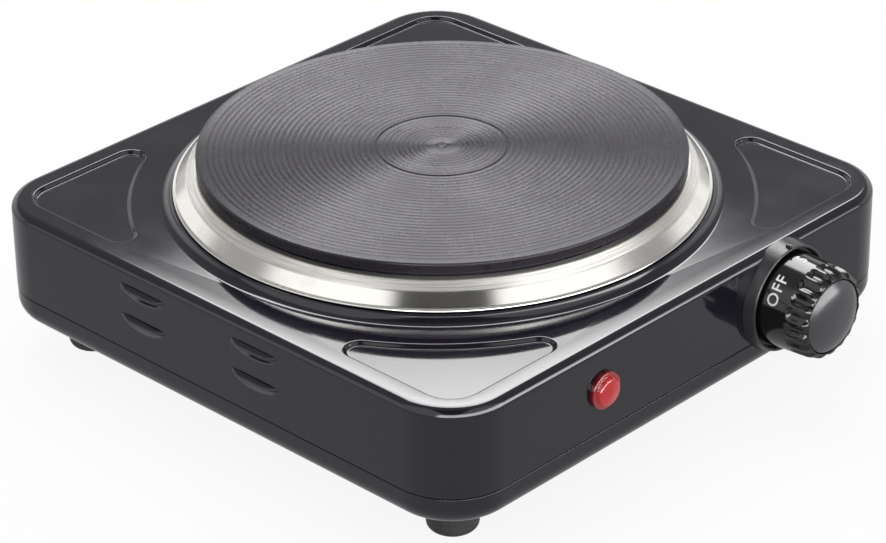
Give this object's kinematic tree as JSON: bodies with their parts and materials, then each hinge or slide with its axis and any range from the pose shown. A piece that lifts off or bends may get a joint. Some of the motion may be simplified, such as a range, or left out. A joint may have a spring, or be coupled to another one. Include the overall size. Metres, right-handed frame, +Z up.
{
  "type": "hot plate burner",
  "caption": "Square table-top electric hot plate: round cast-iron plate with a bright trim ring on a black pressed-steel housing, turning thermostat knob and indicator lamp at the front.",
  "frame": {"origin": "middle of the outer box in X and Y, on the surface that the feet stand on", "axes": "+Z is up, the knob and lamp face -Y, the cord leaves towards +Y, +X is to the right seen from the front"},
  "size_m": [0.2086, 0.2312, 0.0686],
  "materials": {
    "black_paint": "glossy black baked enamel with a faint orange peel",
    "cast_iron": "dark heat-proof coating over fine turned grooves",
    "bright_steel": "bright stainless, brushed round the ring",
    "zinc_steel": "zinc plated, dull",
    "brass": "plain",
    "knob_black": "glossy black phenolic",
    "cap_satin": "satin dark grey",
    "dial_white": "printed dial numbers",
    "red_lens": "clear red, glossy",
    "bulb_glass": "clear",
    "ceramic": "unglazed ceramic",
    "rubber": "matt black",
    "wire_red": "braided sleeve",
    "wire_blue": "braided sleeve",
    "wire_green": "braided sleeve"
  },
  "bodies": {
    "base_unit": {"housing": "black_paint", "base_cover": "black_paint", "foot_front_left": "rubber", "foot_screw_front_left": "zinc_steel", "cover_screw_front_left": "zinc_steel", "foot_front_right": "rubber", "foot_screw_front_right": "zinc_steel", "cover_screw_front_right": "zinc_steel", "foot_rear_left": "rubber", "foot_screw_rear_left": "zinc_steel", "cover_screw_rear_left": "zinc_steel", "foot_rear_right": "rubber", "foot_screw_rear_right": "zinc_steel", "cover_screw_rear_right": "zinc_steel", "heating_plate": "cast_iron", "trim_ring": "bright_steel", "element_infill": "ceramic", "element_terminal_block": "ceramic", "element_pin_neutral": "zinc_steel", "element_pin_live": "zinc_steel", "plate_bottom_cover": "zinc_steel", "centre_stud": "zinc_steel", "plate_nut": "zinc_steel", "clamp_bar": "zinc_steel", "heat_shield": "zinc_steel", "clamp_washer": "zinc_steel", "clamp_nut": "zinc_steel", "knob_collar": "knob_black", "thermostat_frame": "zinc_steel", "thermostat_spacer_front": "ceramic", "thermostat_spacer_middle": "ceramic", "thermostat_spacer_rear": "ceramic", "thermostat_spring": "brass", "thermostat_bimetal": "brass", "thermostat_rivet": "zinc_steel", "thermostat_screw_left": "zinc_steel", "thermostat_screw_right": "zinc_steel", "lamp_lens": "red_lens", "lamp_clip": "zinc_steel", "neon_bulb": "bulb_glass", "cord_gland": "rubber", "mains_terminal_block": "ceramic", "mains_terminal_screw": "zinc_steel", "earth_tag": "brass", "earth_screw": "zinc_steel", "wire_live_in": "wire_red", "wire_live_out": "wire_red", "wire_neutral": "wire_blue", "wire_lamp_live": "wire_red", "wire_lamp_neutral": "wire_blue", "wire_earth": "wire_green"},
    "control_knob": {"knob": "knob_black", "knob_cap": "cap_satin", "thermostat_shaft": "zinc_steel"}
  },
  "joints": [
    {"name": "knob_turn", "type": "hinge", "parent": "base_unit", "child": "control_knob", "pos_m": [0.0432, -0.1, 0.03599], "axis": [0, 1, 0], "range_deg": [-307, 0]}
  ]
}
